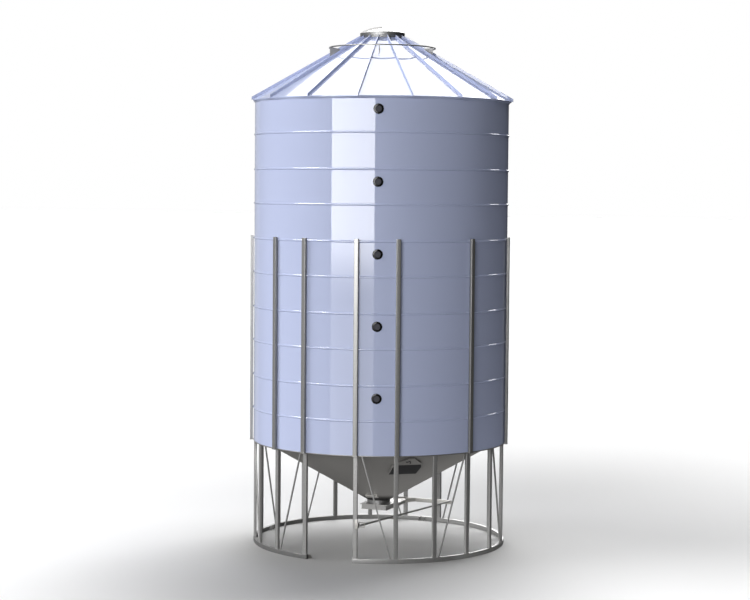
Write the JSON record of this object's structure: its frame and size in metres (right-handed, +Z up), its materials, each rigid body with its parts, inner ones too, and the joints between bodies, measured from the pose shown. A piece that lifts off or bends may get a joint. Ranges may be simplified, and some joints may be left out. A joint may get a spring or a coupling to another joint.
{
  "type": "hopper bottom grain silo",
  "caption": "Round sheet-metal grain silo on an open ring of legs, with a conical hopper, a slide gate and a lidded panel roof.",
  "frame": {"origin": "on the ground at the silo's vertical axis, level with the underside of the base ring", "axes": "+Z up, -Y towards the open bay of the base ring, +X to the right when looking at the open bay"},
  "size_m": [4.5712, 4.5712, 9.0903],
  "materials": {
    "painted_sheet": "glossy light blue-grey coating",
    "galvanised_steel": "dull galvanised",
    "cone_steel": "dull dark grey coated sheet",
    "bright_steel": "bright galvanised",
    "black_rim": "glossy black rim with a dark pane",
    "white_lid": "white coating"
  },
  "bodies": {
    "silo": {"base_frame_1": "galvanised_steel", "base_frame_2": "galvanised_steel", "base_frame_3": "galvanised_steel", "base_frame_4": "galvanised_steel", "brace_1": "galvanised_steel", "brace_10": "galvanised_steel", "brace_2": "galvanised_steel", "brace_3": "galvanised_steel", "brace_4": "galvanised_steel", "brace_5": "galvanised_steel", "brace_6": "galvanised_steel", "brace_7": "galvanised_steel", "brace_8": "galvanised_steel", "brace_9": "galvanised_steel", "cap_collar": "bright_steel", "cone_cover_plate": "bright_steel", "eave_ring": "painted_sheet", "gate_housing": "galvanised_steel", "hatch_cover": "cone_steel", "hatch_neck": "cone_steel", "hopper_cone": "cone_steel", "outlet_collar": "bright_steel", "rod_eye": "galvanised_steel", "roof_quarter_1": "painted_sheet", "roof_quarter_2": "painted_sheet", "roof_quarter_3": "painted_sheet", "roof_quarter_4": "painted_sheet", "roof_rail": "galvanised_steel", "sight_glass_1": "black_rim", "sight_glass_2": "black_rim", "sight_glass_3": "black_rim", "sight_glass_4": "black_rim", "sight_glass_5": "black_rim", "upper_frame_1": "galvanised_steel", "upper_frame_2": "galvanised_steel", "upper_frame_3": "galvanised_steel", "upper_frame_4": "galvanised_steel", "wall_ring_1": "painted_sheet", "wall_ring_2": "painted_sheet", "wall_ring_3": "painted_sheet", "wall_ring_4": "painted_sheet", "wall_ring_5": "painted_sheet"},
    "gate": {"gate_slide": "bright_steel", "pull_arm": "galvanised_steel", "pull_rod": "galvanised_steel"},
    "lid": {"cap_lid": "white_lid"}
  },
  "joints": [
    {"name": "gate_travel", "type": "slide", "parent": "silo", "child": "gate", "axis": [0, 1, 0], "range_m": [0, 0.42]},
    {"name": "lid_hinge", "type": "hinge", "parent": "silo", "child": "lid", "pos_m": [0, 0.43, 8.992], "axis": [-1, 0, 0], "range_deg": [0, 110]}
  ]
}
